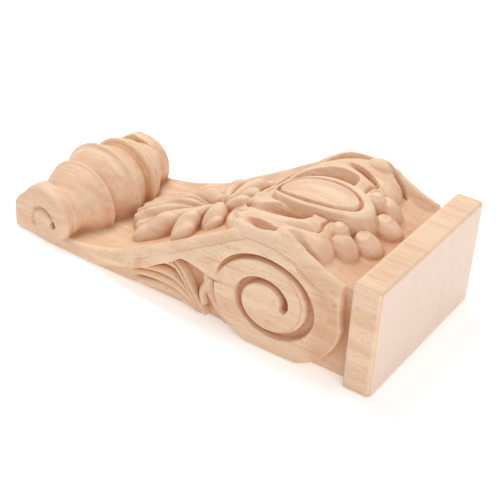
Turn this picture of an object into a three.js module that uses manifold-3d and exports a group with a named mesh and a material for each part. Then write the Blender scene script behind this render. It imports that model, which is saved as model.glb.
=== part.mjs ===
// A carved wooden corbel in the Roman manner, made from one glued-up block.
// Millimetres, +Z up. It is drawn as it hangs: the abacus is on top, the carved
// front faces -Y, and the flat back lies on the wall in the plane Y = 0.
// The origin is at the middle of the back.
import * as THREE from "three";
import * as BufferGeometryUtils from "three/addons/utils/BufferGeometryUtils.js";
import Module from "manifold-3d";

const wasm = await Module();
wasm.setup();

// Driving dimensions
const corbelHeight = 200;
const abacus = { width: 90, depth: 50, thickness: 13, edge: 1.2 };
// How far the straps, the plain sides and the tail lie in from the ends of the abacus
const setback = { strap: 1, side: 5.5, tail: 8 };
const headDepth = 52; // wall to the ground between the carving of the head
const neckDepth = 5.5; // wall to the ground at the thinnest place

// The strap is the raised border that runs down both sides of the front
const strap = { bevel: 9, bevelShare: 0.23, footInset: 6, crestInset: 0.8 };

// The large volute on each side: an Archimedean spiral, a little flattened
const volute = {
  down: 50.7, // below the top
  out: 23.6, // from the wall
  flatten: 0.86,
  grooveStart: 25.9, // radius of the groove where it begins
  groovePitch: 12, // from one turn to the next
  grooveTurns: 1.53,
  grooveWidth: 2.6,
  grooveDepth: 3.2,
  rimNear: 26.4, // radius of the plate on the side of the leaf
  rimFar: 34.2, // radius of the plate on the side of the abacus
};

// The reel across the foot, a turned form of three ridges between two scrolls
const reel = { up: 23.4, out: 12.3, ridge: 23.5, sideRidge: 20.3, valley: 18.4, waist: 13.4 };
const reelPlace = { sideRidge: 15.4, valley: 12.4, waist: 28.5 };
const scroll = { up: 19.7, out: 11.2, radius: 14.4, thickness: 6, edge: 2.2 };
const scrollGroove = { radius: 8.4, pitch: 6.5, width: 1.8, depth: 2.4, turns: 0.95 };

// Carving of the head
const boss = { down: 56.2, halfWidth: 9.5, halfHeight: 18.2, dome: 1.4, rimWidth: 4.5 };
const bossGroove = { clearance: 0.9, radius: 1.5, lift: 0.2 }; // an oval ring cut round the boss
const shellRise = 7.5; // how far the shell of leaves stands out round the boss
const hollowDepth = 5.2;
const lobeHeight = 8; // of the knobs in which the shell ends, from their middle to their top

// Carving of the neck and the sides
const palmette = { root: 104.5, length: 45.5, shorter: 5, ribAngle: 7.9, ribsBeside: 3, rise: 9, flute: 1.4 };
const knotRise = 7.5;
const leafRise = 2.2; // how far the side leaf stands out of the plain side

// Half the width of the straps, of the body between its plain sides and of the tail
const strapHalf = abacus.width / 2 - setback.strap;
const sideHalf = abacus.width / 2 - setback.side;
const tailHalf = abacus.width / 2 - setback.tail;

// Places along the corbel are shares of its height, measured down from the top, and
// places across it are shares of half the body's width
const down = (share) => share * corbelHeight;
const across = (share) => share * sideHalf;
const levelAt = (distanceDown) => corbelHeight / 2 - distanceDown;

// A smooth curve through [place, value] pairs, read at any place
function curveThrough(pairs) {
  const last = pairs.length - 1;
  const slope = pairs.map((pair, i) => {
    const before = pairs[Math.max(i - 1, 0)];
    const after = pairs[Math.min(i + 1, last)];
    return (after[1] - before[1]) / (after[0] - before[0]);
  });
  return (place) => {
    if (place <= pairs[0][0]) return pairs[0][1];
    if (place >= pairs[last][0]) return pairs[last][1];
    const i = pairs.findIndex((pair) => pair[0] > place) - 1;
    const span = pairs[i + 1][0] - pairs[i][0];
    const t = (place - pairs[i][0]) / span;
    const start = pairs[i][1] * (1 + 2 * t) * (1 - t) ** 2 + slope[i] * span * t * (1 - t) ** 2;
    const end = pairs[i + 1][1] * t * t * (3 - 2 * t) + slope[i + 1] * span * t * t * (t - 1);
    return start + end;
  };
}

const smooth = (t) => THREE.MathUtils.smoothstep(t, 0, 1);

// How the ground swells from the neck to the head: 0 is the neck's depth, 1 the head's
const groundSwell = curveThrough([
  [0.065, 0.774], [0.085, 0.748], [0.12, 0.76], [0.15, 0.806], [0.18, 0.867], [0.225, 0.9],
  [0.275, 0.91], [0.315, 0.888], [0.35, 0.84], [0.385, 0.77], [0.46, 0.59], [0.55, 0.355],
  [0.6, 0.247], [0.65, 0.153], [0.7, 0.075], [0.75, 0.024], [0.8, 0], [0.86, 0.01], [0.9, 0.14],
  [0.96, 0.14], [1, 0.08],
]);
const depthAt = (swell) => neckDepth + swell * (headDepth - neckDepth);
const groundAt = (share) => depthAt(groundSwell(share));

// The same for the crest of the strap
const crestSwell = curveThrough([
  [0.06, 0.78], [0.115, 0.85], [0.17, 0.95], [0.225, 1.04], [0.28, 1.05], [0.33, 1.0],
  [0.39, 0.84], [0.46, 0.665], [0.52, 0.52], [0.58, 0.375], [0.625, 0.255], [0.66, 0.18],
  [0.7, 0.135], [0.75, 0.07], [0.8, 0.015], [0.84, 0],
]);
const crestAt = (share) => depthAt(crestSwell(share));

// The boss and its rim follow a flatter line of their own
const bossSwell = curveThrough([
  [0.13, 0.93], [0.15, 0.98], [0.185, 1.02], [0.225, 1.04], [0.275, 1.045], [0.325, 1.02],
  [0.36, 0.98], [0.385, 0.945], [0.42, 0.86],
]);
const bossLevel = (share) => depthAt(bossSwell(share));

// The strap's face sinks into the plain side below the leaf
const faceSwell = curveThrough([[0.6, 1], [0.65, 0.88], [0.7, 0.52], [0.75, 0.18], [0.8, -0.04]]);
const faceAt = (share) => sideHalf + faceSwell(share) * (strapHalf - sideHalf);

// Geometry helpers

function asSolid(geometry) {
  const plain = geometry.clone();
  plain.deleteAttribute("normal");
  plain.deleteAttribute("uv");
  const merged = BufferGeometryUtils.mergeVertices(plain, 1e-4);
  const vertProperties = new Float32Array(merged.attributes.position.array);
  const triVerts = new Uint32Array(merged.index.array);
  return new wasm.Manifold(new wasm.Mesh({ numProp: 3, vertProperties, triVerts }));
}

// Joins rings of points into a closed skin, with a fan over each end
function loft(rings) {
  const count = rings[0].length;
  const positions = rings.flat().flatMap((p) => [p.x, p.y, p.z]);
  const middleOf = (ring) => {
    const middle = new THREE.Vector3();
    ring.forEach((p) => middle.addScaledVector(p, 1 / count));
    return middle;
  };
  const first = middleOf(rings[0]);
  const last = middleOf(rings[rings.length - 1]);
  positions.push(...first.toArray(), ...last.toArray());
  const firstIndex = rings.length * count;
  const triangles = [];
  for (let j = 0; j < count; j++) {
    const next = (j + 1) % count;
    for (let i = 0; i < rings.length - 1; i++) {
      const a = i * count;
      const b = (i + 1) * count;
      triangles.push(a + j, a + next, b + j, a + next, b + next, b + j);
    }
    const end = (rings.length - 1) * count;
    triangles.push(firstIndex, next, j, firstIndex + 1, end + j, end + next);
  }
  const geometry = new THREE.BufferGeometry();
  geometry.setAttribute("position", new THREE.Float32BufferAttribute(positions, 3));
  geometry.setIndex(triangles);
  return asSolid(facingOut(geometry));
}

// Turns the faces round when a skin encloses a negative volume
function facingOut(geometry) {
  const p = geometry.attributes.position;
  const index = geometry.index.array;
  const corner = [new THREE.Vector3(), new THREE.Vector3(), new THREE.Vector3()];
  let volume = 0;
  for (let i = 0; i < index.length; i += 3) {
    corner.forEach((c, k) => c.fromBufferAttribute(p, index[i + k]));
    volume += corner[0].dot(corner[1].cross(corner[2]));
  }
  if (volume < 0) index.reverse();
  return geometry;
}

// Extrudes a shape drawn in (y, z) along X
function acrossSolid(shape, from, to) {
  const geometry = new THREE.ExtrudeGeometry(shape, {
    depth: to - from,
    bevelEnabled: false,
    curveSegments: 12,
  });
  const turn = new THREE.Matrix4().makeBasis(
    new THREE.Vector3(0, 1, 0),
    new THREE.Vector3(0, 0, 1),
    new THREE.Vector3(1, 0, 0),
  );
  geometry.applyMatrix4(turn);
  geometry.translate(from, 0, 0);
  return asSolid(geometry);
}

// A rounded leaf along a line of places on a surface. Its section is a low arch on
// straight sides, which reach down into the surface. Each place has the direction that
// the surface faces there; half is half the leaf's width and rise its height along it
function leafSolid(places, facing, half, rise, skirt = 2) {
  const last = places.length - 1;
  const arch = 4;
  const rings = places.map((place, i) => {
    const before = places[Math.max(i - 1, 0)];
    const along = places[Math.min(i + 1, last)].clone().sub(before).normalize();
    const beside = along.cross(facing[i]).normalize();
    const t = (i + 0.5) / places.length;
    const end = Math.sqrt(1 - (2 * t - 1) ** 4);
    const at = (sideways, outward) => place.clone()
      .addScaledVector(beside, sideways * half(t) * end)
      .addScaledVector(facing[i], outward);
    const ring = [];
    for (let j = 0; j <= arch; j++) {
      const angle = (j / arch) * Math.PI;
      ring.push(at(Math.cos(angle), Math.sin(angle) * rise(t) * end));
    }
    ring.push(at(-1, -skirt), at(1, -skirt));
    return ring;
  });
  return loft(rings);
}

const evenly = (values) => curveThrough(values.map((value, i) => [i / (values.length - 1), value]));

function unite(solids) {
  return solids.reduce((whole, solid) => whole.add(solid));
}

function cutAll(solid, cutters) {
  return cutters.reduce((whole, cutter) => whole.subtract(cutter), solid);
}

const bothSides = (make) => [make(1), make(-1)].flat();

// The block

function makeAbacus() {
  const { width, depth, thickness, edge } = abacus;
  const outline = new THREE.Shape();
  outline.moveTo(-width / 2, 0);
  outline.lineTo(-width / 2, -depth);
  outline.lineTo(width / 2, -depth);
  outline.lineTo(width / 2, 0);
  outline.closePath();
  const geometry = new THREE.ExtrudeGeometry(outline, {
    depth: thickness - 2 * edge,
    bevelThickness: edge,
    bevelSize: edge,
    bevelOffset: -edge,
    bevelSegments: 2,
  });
  geometry.translate(0, 0, levelAt(thickness - edge));
  return asSolid(geometry);
}

// The front relief

function curvedPath(points, steps) {
  const curve = new THREE.SplineCurve(points.map(([x, y]) => new THREE.Vector2(x, y)));
  return curve.getPoints(steps).map((p) => [p.x, p.y]);
}

// A path on the carved front, from shares to millimetres
const carvedPath = (points, steps) => curvedPath(points.map(([x, share]) => [across(x), down(share)]), steps);

// The strap rises from its foot to its crest and falls away in a bevel outside
function strapDepth(x, share, ground) {
  const foot = sideHalf - strap.footInset;
  const crestX = sideHalf - strap.crestInset;
  const crest = Math.max(crestAt(share), ground);
  if (x <= foot) return ground;
  if (x <= crestX) return ground + (crest - ground) * smooth((x - foot) / (crestX - foot));
  const bevel = Math.min(strap.bevel, crest * strap.bevelShare);
  const beyond = Math.min(1, (x - crestX) / (faceAt(share) - crestX));
  return crest - bevel * beyond ** 1.6;
}

// The shell of leaves round the boss: its rise down the corbel, its lower edge from the
// knot out to the strap, and how it begins below the abacus
const shellSwell = curveThrough([
  [0.1, 0.5], [0.14, 0.78], [0.175, 0.87], [0.24, 0.97], [0.3, 0.98], [0.36, 0.98], [0.4, 0.95],
  [0.44, 0.8], [0.5, 0.6],
]);
const shellEdge = curveThrough([
  [0, 0.495], [0.15, 0.494], [0.3, 0.483], [0.48, 0.46], [0.66, 0.433], [0.84, 0.404], [1, 0.37],
]);
const shellStart = { middle: 0.125, side: 0.18, length: 0.045 };
const shellEdgeFade = 0.05;
const shellLevel = (share) => groundAt(share) + shellRise * shellSwell(share);

// Inside the rim the shell gives way to the boss, an oval cushion
function shellDepth(x, share, ground) {
  const begins = THREE.MathUtils.lerp(shellStart.middle, shellStart.side, x / sideHalf);
  const edge = smooth((shellEdge(x / sideHalf) - share) / shellEdgeFade);
  const fill = edge * smooth((share - begins) / shellStart.length);
  const reach = Math.hypot(x / boss.halfWidth, (down(share) - boss.down) / boss.halfHeight);
  const cushion = bossLevel(share) - boss.dome * Math.min(1, reach * reach);
  const rimEdge = boss.halfWidth + boss.rimWidth / 2;
  const top = THREE.MathUtils.lerp(cushion, shellLevel(share), smooth((x - rimEdge) / boss.rimWidth));
  return ground + Math.max(top - ground, 0) * fill;
}

// The flat fan under the ribs of the palmette
const fanSwell = curveThrough([[0, 0.8], [0.2, 1], [0.45, 1.15], [0.7, 1.05], [0.9, 0.78], [1, 0.55]]);
const ribTurn = THREE.MathUtils.degToRad(palmette.ribAngle);
const fanReach = (turn) => {
  const share = Math.min(1, Math.abs(turn) / (ribTurn * palmette.ribsBeside));
  return palmette.length - palmette.shorter * share ** 2.5;
};

function fanRise(x, d) {
  const away = Math.hypot(x, d - palmette.root);
  const turn = Math.atan2(x, d - palmette.root);
  if (d < palmette.root || Math.abs(turn) > ribTurn * palmette.ribsBeside) return 0;
  const reach = fanReach(turn);
  return away < reach - 1 ? palmette.rise * fanSwell(away / reach) : 0;
}

// Depth of the carved front at any place
function frontDepth(signedX, share) {
  const x = Math.abs(signedX);
  const d = down(share);
  const ground = groundAt(share);
  const strapTop = strapDepth(x, share, ground);
  if (x > sideHalf) return strapTop;
  return Math.max(strapTop, shellDepth(x, share, ground), ground + fanRise(x, d));
}

// Knobs in which the shell ends: the bulbs and lobes towards the abacus, the curl between
// them and the end of the outer leaf, as [across, down] with half sizes and their top
const headKnobs = [
  { at: [0.21, 0.13], half: [6.6, 7], top: 0.9 },
  { at: [0.48, 0.157], half: [6, 6.4], top: 0.965 },
  { at: [0.75, 0.198], half: [7.6, 8.6], top: 1.015 },
  { at: [0.395, 0.183], half: [4.7, 4.7], top: 1.025 },
  { at: [0.93, 0.234], half: [4.5, 6.6], top: 1.112 },
];

function makeHeadKnobs(side) {
  return headKnobs.map(({ at: [x, share], half, top }) => {
    const geometry = new THREE.SphereGeometry(1, 10, 6);
    geometry.scale(half[0], lobeHeight, half[1]);
    geometry.translate(side * across(x), lobeHeight - depthAt(top), levelAt(down(share)));
    return asSolid(geometry);
  });
}

// Long hollows between the leaves of the shell, as [across, down]; each is a leaf turned
// inwards, cut out of the shell
const headHollows = [
  { half: [4.6, 5.6, 3.6, 1], cut: [1.15, 1.1, 0.8, 0.4],
    path: [[0.476, 0.26], [0.496, 0.295], [0.48, 0.335], [0.4, 0.375], [0.27, 0.41]] },
  { half: [1.6, 2.6, 2.2, 1.2], cut: [0.6, 0.9, 0.8, 0.3],
    path: [[0.62, 0.206], [0.72, 0.228], [0.78, 0.255], [0.8, 0.29]] },
  { half: [1.6, 2.6, 2.3, 1], cut: [0.7, 0.9, 0.7, 0.3],
    path: [[0.97, 0.267], [0.965, 0.29], [0.93, 0.315], [0.87, 0.338], [0.78, 0.36]] },
  { half: [0.6, 1.2, 1.2, 0.6], cut: [0.15, 0.32, 0.32, 0.15],
    path: [[0.8, 0.37], [0.66, 0.4], [0.5, 0.424], [0.36, 0.444]] },
];

function makeHeadHollows(side) {
  const above = 5; // how far the cutters stand out of the wood
  return headHollows.map(({ path, half, cut }) => {
    const line = carvedPath(path, 6).map(([x, d]) => [side * x, d]);
    const places = line.map(([x, d]) => new THREE.Vector3(x, -shellLevel(d / corbelHeight), levelAt(d)));
    const inwards = line.map(([, d]) => groundFacing(d).negate());
    const depth = evenly(cut);
    return leafSolid(places, inwards, evenly(half), (t) => hollowDepth * depth(t), above);
  });
}

// Leaves that lie on the ground of the neck, as [across, down], on both sides
const neckLeaves = [
  { half: [3.4, 6.4, 5.6], rise: [8, 10, 6.5],
    path: [[0.18, 0.56], [0.3, 0.598], [0.42, 0.632], [0.54, 0.67]] },
  { half: [3.4, 5.8, 5], rise: [8, 10.2, 6.5],
    path: [[0.15, 0.535], [0.28, 0.547], [0.41, 0.552], [0.64, 0.542]] },
  { half: [3.4, 5.4, 4], rise: [7.4, 9.4, 4.6],
    path: [[0.13, 0.515], [0.27, 0.505], [0.41, 0.49], [0.52, 0.475]] },
  { half: [3.2, 4.2, 3.2], rise: [1, 1, 0.9].map((share) => share * knotRise),
    path: [[0.08, 0.438], [0.125, 0.47], [0.15, 0.506]] },
];

// The direction that the ground faces at a distance down
function groundFacing(d) {
  const step = 1;
  const slope = (groundAt((d + step) / corbelHeight) - groundAt((d - step) / corbelHeight)) / (2 * step);
  return new THREE.Vector3(0, -1, slope).normalize();
}

// A leaf on the ground, or lifted off it, along points of [x, down]
function groundLeaf(line, half, rise, lift = () => 0, skirt = 2) {
  const places = line.map(([x, d], i) => {
    const depth = groundAt(d / corbelHeight) + lift(i / (line.length - 1));
    return new THREE.Vector3(x, -depth, levelAt(d));
  });
  return leafSolid(places, line.map(([, d]) => groundFacing(d)), half, rise, skirt);
}

function makeNeckLeaves(side) {
  return neckLeaves.map(({ path, half, rise }) => {
    const line = carvedPath(path, 5).map(([x, d]) => [side * x, d]);
    return groundLeaf(line, evenly(half), evenly(rise));
  });
}

// The ribs of the palmette, fanned from its root on the flat fan
function makePalmette() {
  const ribs = [];
  const sunk = 0.3; // how far the foot of each rib lies in the fan
  const rooted = 3; // how far the sides of a rib reach below the fan's own rise
  const start = 0.12; // where the ribs part, as a share of their length
  const steps = 5;
  const narrowest = 0.8;
  const overlap = 1.1; // of neighbouring ribs
  for (let i = -palmette.ribsBeside; i <= palmette.ribsBeside; i++) {
    const turn = i * ribTurn;
    const reach = fanReach(turn);
    const shares = Array.from({ length: steps + 1 }, (_, k) => start + ((1 - start) * k) / steps);
    const line = shares.map((share) => [
      reach * share * Math.sin(turn),
      palmette.root + reach * share * Math.cos(turn),
    ]);
    const half = (t) => Math.max(narrowest, reach * t * Math.tan(ribTurn / 2) * overlap);
    const lift = (t) => palmette.rise * fanSwell(start + (1 - start) * t) - sunk;
    ribs.push(groundLeaf(line, half, () => palmette.flute + sunk, lift, palmette.rise + rooted));
  }
  return ribs;
}

// The narrow groove round the boss, cut by an oval ring
function makeBossGroove() {
  const { clearance, radius, lift } = bossGroove;
  const steps = 24;
  const sides = 4;
  const positions = [];
  const triangles = [];
  for (let i = 0; i < steps; i++) {
    const turn = (i / steps) * Math.PI * 2;
    const out = [Math.cos(turn), Math.sin(turn)];
    const x = (boss.halfWidth + clearance) * out[0];
    const d = boss.down + (boss.halfHeight + clearance) * out[1];
    const depth = bossLevel(d / corbelHeight) - boss.dome + lift;
    for (let j = 0; j < sides; j++) {
      const angle = (j / sides) * Math.PI * 2;
      const wide = radius * Math.cos(angle);
      positions.push(x + wide * out[0], -(depth + radius * Math.sin(angle)), levelAt(d + wide * out[1]));
      const a = i * sides + j;
      const b = i * sides + ((j + 1) % sides);
      const c = ((i + 1) % steps) * sides + ((j + 1) % sides);
      const e = ((i + 1) % steps) * sides + j;
      triangles.push(a, b, c, a, c, e);
    }
  }
  const geometry = new THREE.BufferGeometry();
  geometry.setAttribute("position", new THREE.Float32BufferAttribute(positions, 3));
  geometry.setIndex(triangles);
  return asSolid(facingOut(geometry));
}

// The lines of the grid that the front is carved on, closer where the carving is finer
function gridLines(stops) {
  const lines = [];
  for (let i = 0; i < stops.length - 1; i++) {
    const [from, step] = stops[i];
    const count = Math.max(1, Math.round((stops[i + 1][0] - from) / step));
    for (let k = 0; k < count; k++) lines.push(from + ((stops[i + 1][0] - from) * k) / count);
  }
  lines.push(stops[stops.length - 1][0]);
  return lines;
}

// A solid with a flat back on the wall and the relief on its front
function makeRelief() {
  const edge = strapHalf + 1;
  const foot = sideHalf - strap.footInset;
  const half = gridLines([[0, 3.4], [foot, 2.6], [edge]]);
  const xs = [...half.slice(1).map((x) => -x).reverse(), ...half];
  const shares = gridLines([[0.055, 0.0165], [0.51, 0.03], [0.8, 0.07], [1]]);
  const columns = xs.length;
  const rows = shares.length;
  const points = [];
  for (const share of shares) {
    for (const x of xs) points.push(x, -Math.max(frontDepth(x, share), 0.5), levelAt(down(share)));
  }
  const backStart = columns * rows;
  for (const share of shares) {
    for (const x of xs) points.push(x, 1, levelAt(down(share)));
  }
  const triangles = [];
  const quad = (a, b, c, d) => triangles.push(a, b, c, a, c, d);
  for (let i = 0; i < rows - 1; i++) {
    for (let j = 0; j < columns - 1; j++) {
      const a = i * columns + j;
      quad(a, a + columns, a + columns + 1, a + 1);
    }
    const left = i * columns;
    const right = left + columns - 1;
    quad(left, backStart + left, backStart + left + columns, left + columns);
    quad(right, right + columns, backStart + right + columns, backStart + right);
  }
  for (let j = 0; j < columns - 1; j++) {
    const top = j;
    const bottom = (rows - 1) * columns + j;
    quad(top, top + 1, backStart + top + 1, backStart + top);
    quad(bottom, backStart + bottom, backStart + bottom + 1, bottom + 1);
  }
  // The back is one plane, fanned between its two long edges
  for (let i = 0; i < rows - 1; i++) {
    const left = backStart + i * columns;
    for (let j = 0; j < columns - 1; j++) {
      quad(left + j, left + j + 1, left + j + 1 + columns, left + j + columns);
    }
  }
  const geometry = new THREE.BufferGeometry();
  geometry.setAttribute("position", new THREE.Float32BufferAttribute(points, 3));
  geometry.setIndex(triangles);
  return asSolid(facingOut(geometry));
}

// A slab with its back on the wall, as [share down, half width] from top to bottom
function slabThrough(levels) {
  const reach = 2 * headDepth;
  return loft(levels.map(([share, half]) => [
    [half, 0], [half, reach], [-half, reach], [-half, 0],
  ].map(([x, y]) => new THREE.Vector3(x, -y, levelAt(down(share))))));
}

// What the sides allow: the body between its side planes, narrowing at the tail
function makeBodySlab() {
  const tailStart = 0.84;
  const top = abacus.thickness / 2 / corbelHeight;
  return slabThrough([[top, sideHalf], [tailStart, sideHalf], [1, tailHalf]]);
}

// The same for the straps
function makeStrapSlab() {
  const shares = [0, 0.6, 0.63, 0.66, 0.69, 0.72, 0.76, 0.8];
  return slabThrough(shares.map((share) => [share, faceAt(share)]));
}

// Side volutes

function spiralPoint(radius, angle) {
  const y = -(volute.out + volute.flatten * radius * Math.sin(angle));
  const z = levelAt(volute.down + radius * Math.cos(angle));
  return new THREE.Vector2(y, z);
}

// The lower edge of the strap beyond the volute, as shares of height and head depth
const strapLower = [[0.385, 0.46], [0.42, 0.49], [0.47, 0.51], [0.5, 0.442], [0.54, 0.346],
  [0.58, 0.25], [0.615, 0.187], [0.67, 0.115], [0.73, 0.045], [0.8, 0]];
const strapEnd = 0.8;

// The volute's plate and the strap's face are one outline: round the back half of the
// spiral, up beside the abacus, and back along the strap's lower edge
function faceOutline() {
  const points = [];
  const steps = 26;
  for (let i = 0; i <= steps; i++) {
    const turn = (i / steps) * Math.PI;
    const point = spiralPoint(THREE.MathUtils.lerp(volute.rimNear, volute.rimFar, i / steps), -turn);
    points.push(new THREE.Vector2(Math.min(point.x, 0), point.y));
  }
  const reach = 2 * headDepth;
  const abacusSide = points[points.length - 1].y;
  points.push(new THREE.Vector2(-reach, abacusSide));
  points.push(new THREE.Vector2(-reach, levelAt(down(strapEnd))));
  const lower = curvedPath(strapLower, 20).reverse();
  lower.forEach(([share, depth]) => {
    points.push(new THREE.Vector2(-depth * headDepth, levelAt(down(share))));
  });
  return new THREE.Shape(points);
}

function spiralGroove(centre, radiusAt, turns, width, steps) {
  const outer = [];
  const inner = [];
  for (let i = 0; i <= steps; i++) {
    const angle = (i / steps) * turns * Math.PI * 2;
    const fade = Math.min(1, 0.35 + (i / steps) * 6, 0.35 + (1 - i / steps) * 8);
    outer.push(centre(radiusAt(angle) + (width / 2) * fade, angle));
    inner.push(centre(radiusAt(angle) - (width / 2) * fade, angle));
  }
  return new THREE.Shape([...outer, ...inner.reverse()]);
}

function makeVolute(side) {
  const face = strapHalf;
  const root = sideHalf - strap.footInset / 2;
  const span = (from, to) => (side > 0 ? [from, to] : [-to, -from]);
  const plate = acrossSolid(faceOutline(), ...span(root, face));
  const radiusAt = (angle) => volute.grooveStart - (volute.groovePitch * angle) / (2 * Math.PI);
  const outline = spiralGroove(spiralPoint, radiusAt, volute.grooveTurns, volute.grooveWidth, 36);
  return { plate, groove: acrossSolid(outline, ...span(face - volute.grooveDepth, face + 1)) };
}

// The reel and its scrolls

function turnedAlongX(profile, distanceUp, out, segments) {
  const geometry = new THREE.LatheGeometry(
    profile.map(([x, radius]) => new THREE.Vector2(radius, x)),
    segments,
  );
  geometry.rotateZ(-Math.PI / 2);
  geometry.translate(0, -out, levelAt(corbelHeight - distanceUp));
  return asSolid(geometry);
}

function makeReel() {
  const { ridge, sideRidge, valley, waist } = reel;
  const half = [
    [0, ridge], [reelPlace.valley * 0.3, ridge - 0.7], [reelPlace.valley * 0.7, ridge - 2.3],
    [reelPlace.valley, valley], [reelPlace.sideRidge - 0.8, sideRidge - 0.3],
    [reelPlace.sideRidge + 0.6, sideRidge], [reelPlace.sideRidge + 4, sideRidge - 1],
    [reelPlace.sideRidge + 8.5, sideRidge - 3.6], [reelPlace.waist, waist],
    [tailHalf - 1, waist],
  ];
  const end = tailHalf - 1;
  const left = half.map(([x, r]) => [-x, r]).slice(1).reverse();
  return turnedAlongX([[-end, 0], ...left, ...half, [end, 0]], reel.up, reel.out, 24);
}

function makeScroll(side) {
  const outer = tailHalf;
  const { radius, thickness, edge } = scroll;
  const half = [
    [outer - thickness, 0], [outer - thickness, radius - edge * 0.6],
    [outer - thickness + edge * 0.6, radius], [outer - edge, radius],
    [outer - edge * 0.3, radius - edge * 0.4], [outer, radius - edge], [outer, 0],
  ];
  const profile = side > 0 ? half : half.map(([x, r]) => [-x, r]).reverse();
  return turnedAlongX(profile, scroll.up, scroll.out, 20);
}

function makeScrollGroove(side) {
  const centre = (radius, angle) => new THREE.Vector2(
    -(scroll.out + radius * Math.sin(angle)),
    levelAt(corbelHeight - scroll.up + radius * Math.cos(angle)),
  );
  const radiusAt = (angle) => scrollGroove.radius - (scrollGroove.pitch * angle) / (2 * Math.PI);
  const turns = scrollGroove.turns;
  const outline = spiralGroove(centre, radiusAt, turns, scrollGroove.width, 16);
  const outer = tailHalf;
  const ends = side > 0
    ? [outer - scrollGroove.depth, outer + 1]
    : [-outer - 1, -outer + scrollGroove.depth];
  return acrossSolid(outline, ...ends);
}

// The leaf on each side: blades as [share down, share of the head's depth]
const sideBlades = [
  { half: 2.9, path: [[0.605, 0.06], [0.54, 0.09], [0.48, 0.075], [0.44, 0.025]] },
  { half: 2.7, path: [[0.608, 0.145], [0.55, 0.18], [0.495, 0.165], [0.455, 0.095], [0.43, 0.03]] },
  { half: 2.6, path: [[0.595, 0.22], [0.56, 0.258], [0.515, 0.265], [0.48, 0.22], [0.455, 0.146]] },
  { half: 2.2, path: [[0.55, 0.35], [0.52, 0.377], [0.495, 0.357]] },
  { half: 1.9, path: [[0.51, 0.44], [0.48, 0.38], [0.455, 0.26], [0.425, 0.12]] },
  { half: 2.6, path: [[0.403, 0.404], [0.417, 0.32], [0.427, 0.227], [0.423, 0.135]] },
];

function makeSideLeaf(side) {
  return sideBlades.map(({ half, path }) => {
    const places = curvedPath(path, 4).map(([share, depth]) => (
      new THREE.Vector3(side * sideHalf, -depth * headDepth, levelAt(down(share)))
    ));
    const facing = places.map(() => new THREE.Vector3(side, 0, 0));
    return leafSolid(places, facing, () => half, () => leafRise);
  });
}

// The whole corbel

function makeCorbel() {
  const volutes = bothSides(makeVolute);
  const plates = unite(volutes.map((part) => part.plate)).intersect(makeStrapSlab());
  const body = makeBodySlab().add(plates).intersect(makeRelief());
  const carved = body.subtract(unite(bothSides(makeHeadHollows)));
  const leaves = [makePalmette(), ...[makeHeadKnobs, makeNeckLeaves, makeSideLeaf].map(bothSides)].flat();
  const foot = [makeReel(), ...bothSides(makeScroll)];
  const grooves = [...volutes.map((part) => part.groove), ...bothSides(makeScrollGroove), makeBossGroove()];
  const whole = cutAll(unite([carved, makeAbacus(), ...leaves, ...foot]), grooves);
  // The wall plane and the sawn lower end trim everything
  const reach = 2 * abacus.width;
  const keep = new THREE.BoxGeometry(reach, reach, corbelHeight);
  keep.translate(0, -reach / 2, 0);
  return whole.intersect(asSolid(keep));
}

function asMesh(solid, name, material) {
  const { vertProperties, triVerts } = solid.getMesh();
  const geometry = new THREE.BufferGeometry();
  geometry.setAttribute("position", new THREE.BufferAttribute(vertProperties, 3));
  geometry.setIndex(new THREE.BufferAttribute(triVerts, 1));
  geometry.computeVertexNormals();
  const mesh = new THREE.Mesh(geometry, material);
  mesh.name = name;
  return mesh;
}

const rubberwood = new THREE.MeshStandardMaterial({ color: 0xe6c6a6, roughness: 0.75, metalness: 0 });

const corbel = new THREE.Group();
corbel.add(asMesh(makeCorbel(), "corbel", rubberwood));

export default corbel;
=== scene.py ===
import math
import bpy
import numpy as np
from mathutils import Matrix, Vector


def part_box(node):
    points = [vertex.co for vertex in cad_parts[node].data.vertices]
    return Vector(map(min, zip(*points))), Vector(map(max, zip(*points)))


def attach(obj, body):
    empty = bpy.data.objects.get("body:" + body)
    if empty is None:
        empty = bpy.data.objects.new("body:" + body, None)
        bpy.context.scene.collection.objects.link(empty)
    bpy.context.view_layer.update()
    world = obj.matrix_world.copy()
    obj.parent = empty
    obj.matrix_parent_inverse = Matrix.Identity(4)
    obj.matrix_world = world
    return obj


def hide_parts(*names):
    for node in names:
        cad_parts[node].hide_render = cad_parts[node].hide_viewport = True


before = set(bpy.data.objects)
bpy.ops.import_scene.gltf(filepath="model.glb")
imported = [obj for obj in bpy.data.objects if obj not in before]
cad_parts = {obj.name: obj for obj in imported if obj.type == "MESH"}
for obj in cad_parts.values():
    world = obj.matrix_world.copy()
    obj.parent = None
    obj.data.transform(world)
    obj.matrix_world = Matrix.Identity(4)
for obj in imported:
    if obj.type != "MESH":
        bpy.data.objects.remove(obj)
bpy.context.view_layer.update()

# A carved rubberwood corbel: volutes on the sides, an oval boss in a shell of leaves on
# the head, a palmette in the neck and a reel at the foot.
# The carving is drawn in millimetres as x (across), down (below the top) and out (from
# the wall). It is one closed skin, made where a field of distances is zero.

mm = 0.001
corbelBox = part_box("corbel")
corbelHeight = (corbelBox[1][2] - corbelBox[0][2]) / mm
slabWidth = (corbelBox[1][0] - corbelBox[0][0]) / mm

# the hollows entry gives the radii, in millimetres, over which the share of wood is taken for the painted
# shade and painted light
carving = {"step": 0.42, "quickStep": 0.7, "triangles": 196000, "soften": 2,
           "hollows": {"hollow": 1.7, "sunk": 5.5}}
block = {"slabDepth": 50, "slabThick": 13, "slabEdge": 1.9, "side": 39.5, "tailSide": 37.0,
         "tailFrom": 168, "tailTo": 200, "mostOut": 59}


# Small tools for drawing forms


def soft(t):
    t = np.clip(t, 0, 1)
    return t * t * (3 - 2 * t)


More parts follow.
